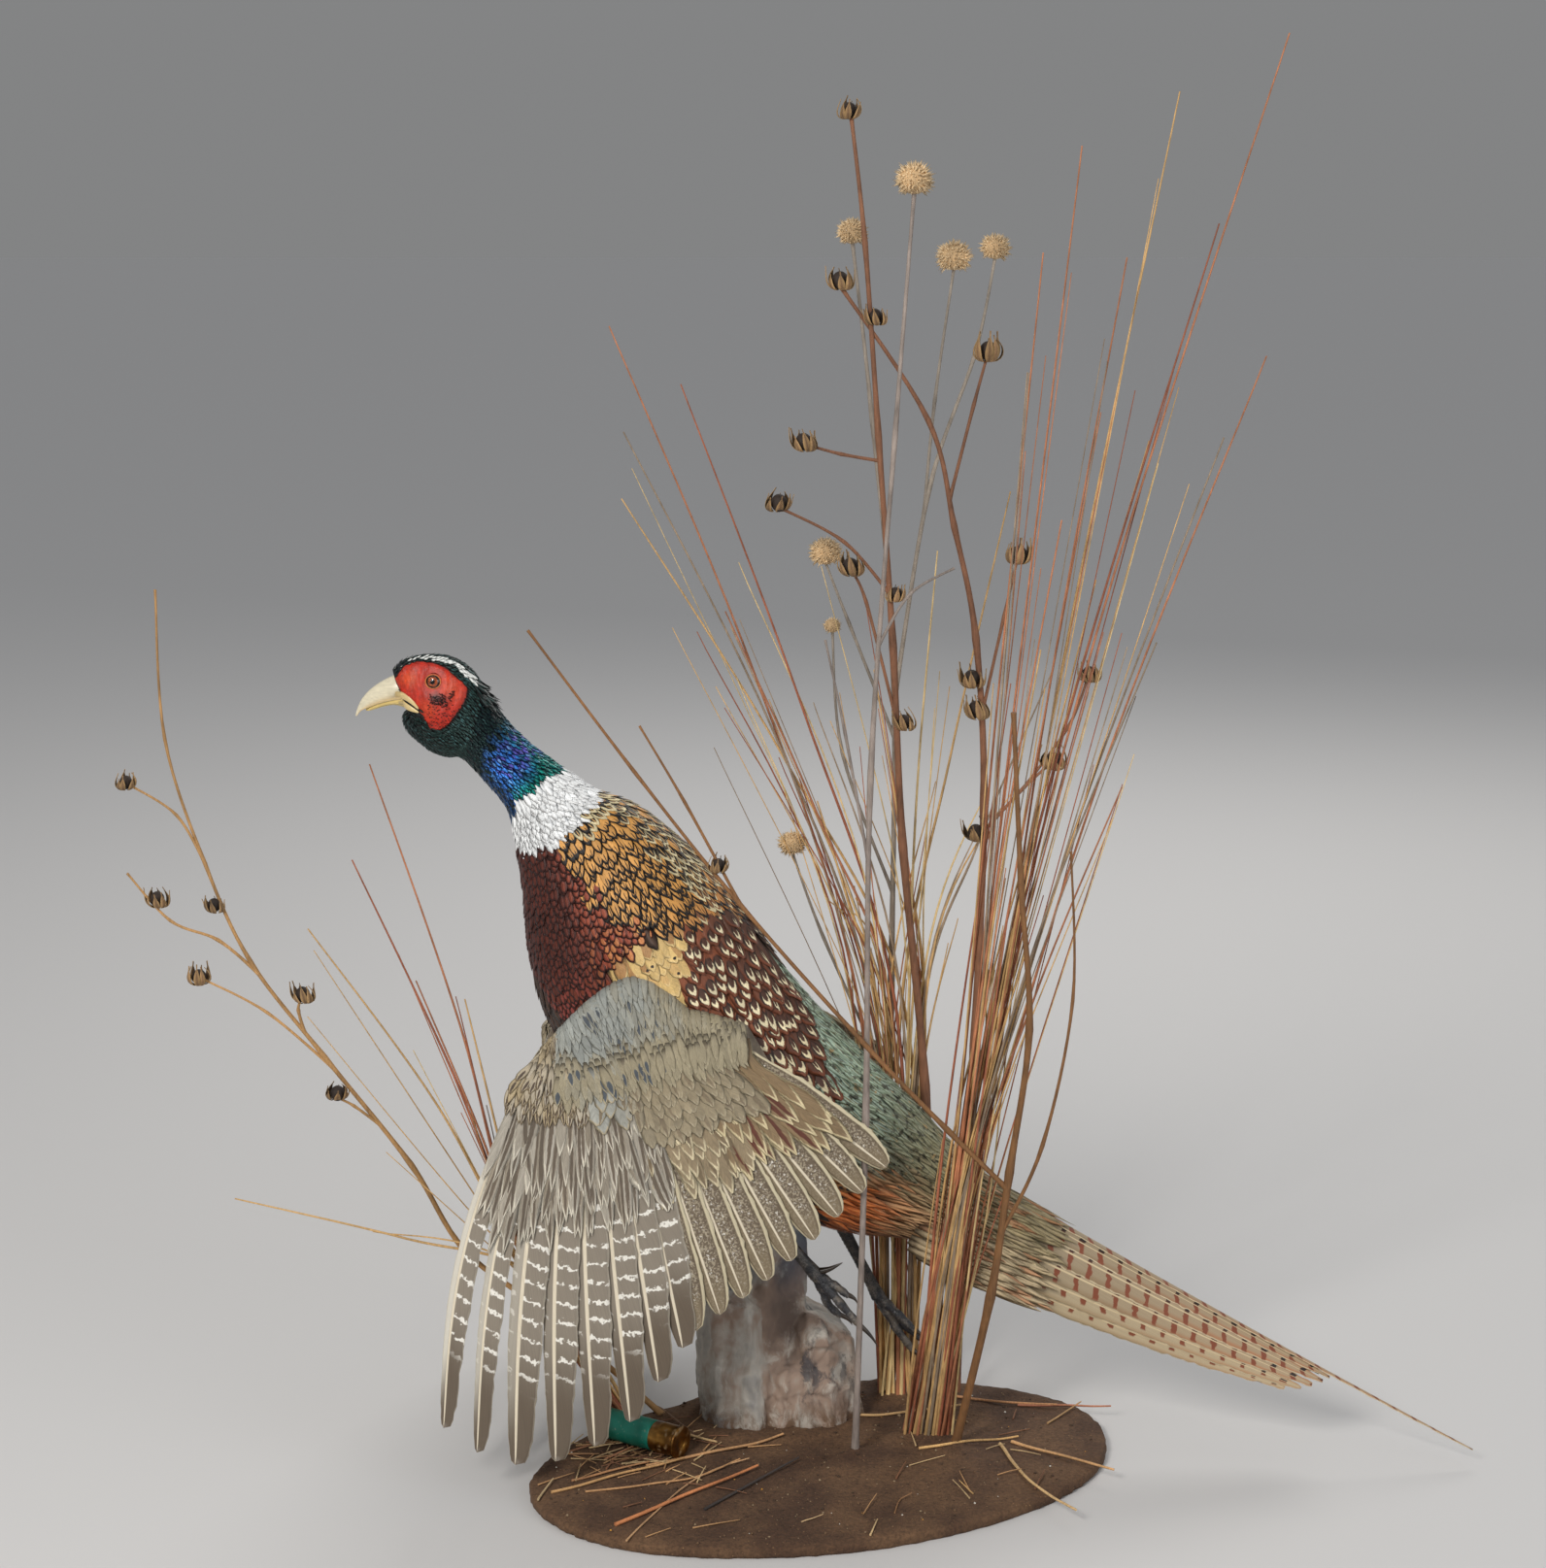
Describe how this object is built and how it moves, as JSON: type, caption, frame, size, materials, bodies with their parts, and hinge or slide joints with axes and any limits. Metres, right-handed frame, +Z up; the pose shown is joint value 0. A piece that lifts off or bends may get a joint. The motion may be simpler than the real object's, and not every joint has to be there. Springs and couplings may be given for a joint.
{
  "type": "taxidermy pheasant mount",
  "caption": "Cock pheasant taxidermy mount, wings lowered, on an oval soil base with a rock, dried plants and grasses, and a spent shotgun shell.",
  "frame": {"origin": "on the underside of the oval base, close to its centre", "axes": "+Z up, the bird faces -X, its left wing is towards -Y"},
  "size_m": [0.8962, 0.3515, 0.9321],
  "materials": {
    "red_skin": "matt, finely pitted",
    "green_black_plumage": "glossy green black",
    "blue_green_plumage": "glossy blue green",
    "copper_plumage": "copper and gold, dark scallops",
    "wing_plumage": "grey brown, pale shafts and bars",
    "tail_plumage": "buff with dark bars",
    "bill_horn": "satin",
    "glass_eye": "polished",
    "leg_scales": "satin, scaly",
    "stone": "rough",
    "soil": "matt, grainy",
    "shell_plastic": "satin",
    "brass": "tarnished",
    "dry_stem": "matt",
    "dry_head": "matt",
    "dry_grass": "matt"
  },
  "bodies": {
    "root": {"base": "soil", "bill_lower": "bill_horn", "bill_upper": "bill_horn", "ear_tuft_left": "green_black_plumage", "ear_tuft_right": "green_black_plumage", "eye_left": "glass_eye", "eye_right": "glass_eye", "foot_left": "leg_scales", "foot_right": "leg_scales", "grass_front": "dry_grass", "grass_left": "dry_grass", "grass_rear": "dry_grass", "head": "red_skin", "neck": "blue_green_plumage", "pod_plant": "dry_stem", "rock": "stone", "shell_brass": "brass", "shell_case": "shell_plastic", "stalk_front": "dry_stem", "stalk_rear": "dry_stem", "stem_brown": "dry_stem", "stem_left": "dry_stem", "tail": "tail_plumage", "tarsus_left": "leg_scales", "tarsus_right": "leg_scales", "thigh_left": "copper_plumage", "thigh_right": "copper_plumage", "trunk": "copper_plumage", "wing_left": "wing_plumage", "wing_right": "wing_plumage"}
  },
  "joints": []
}
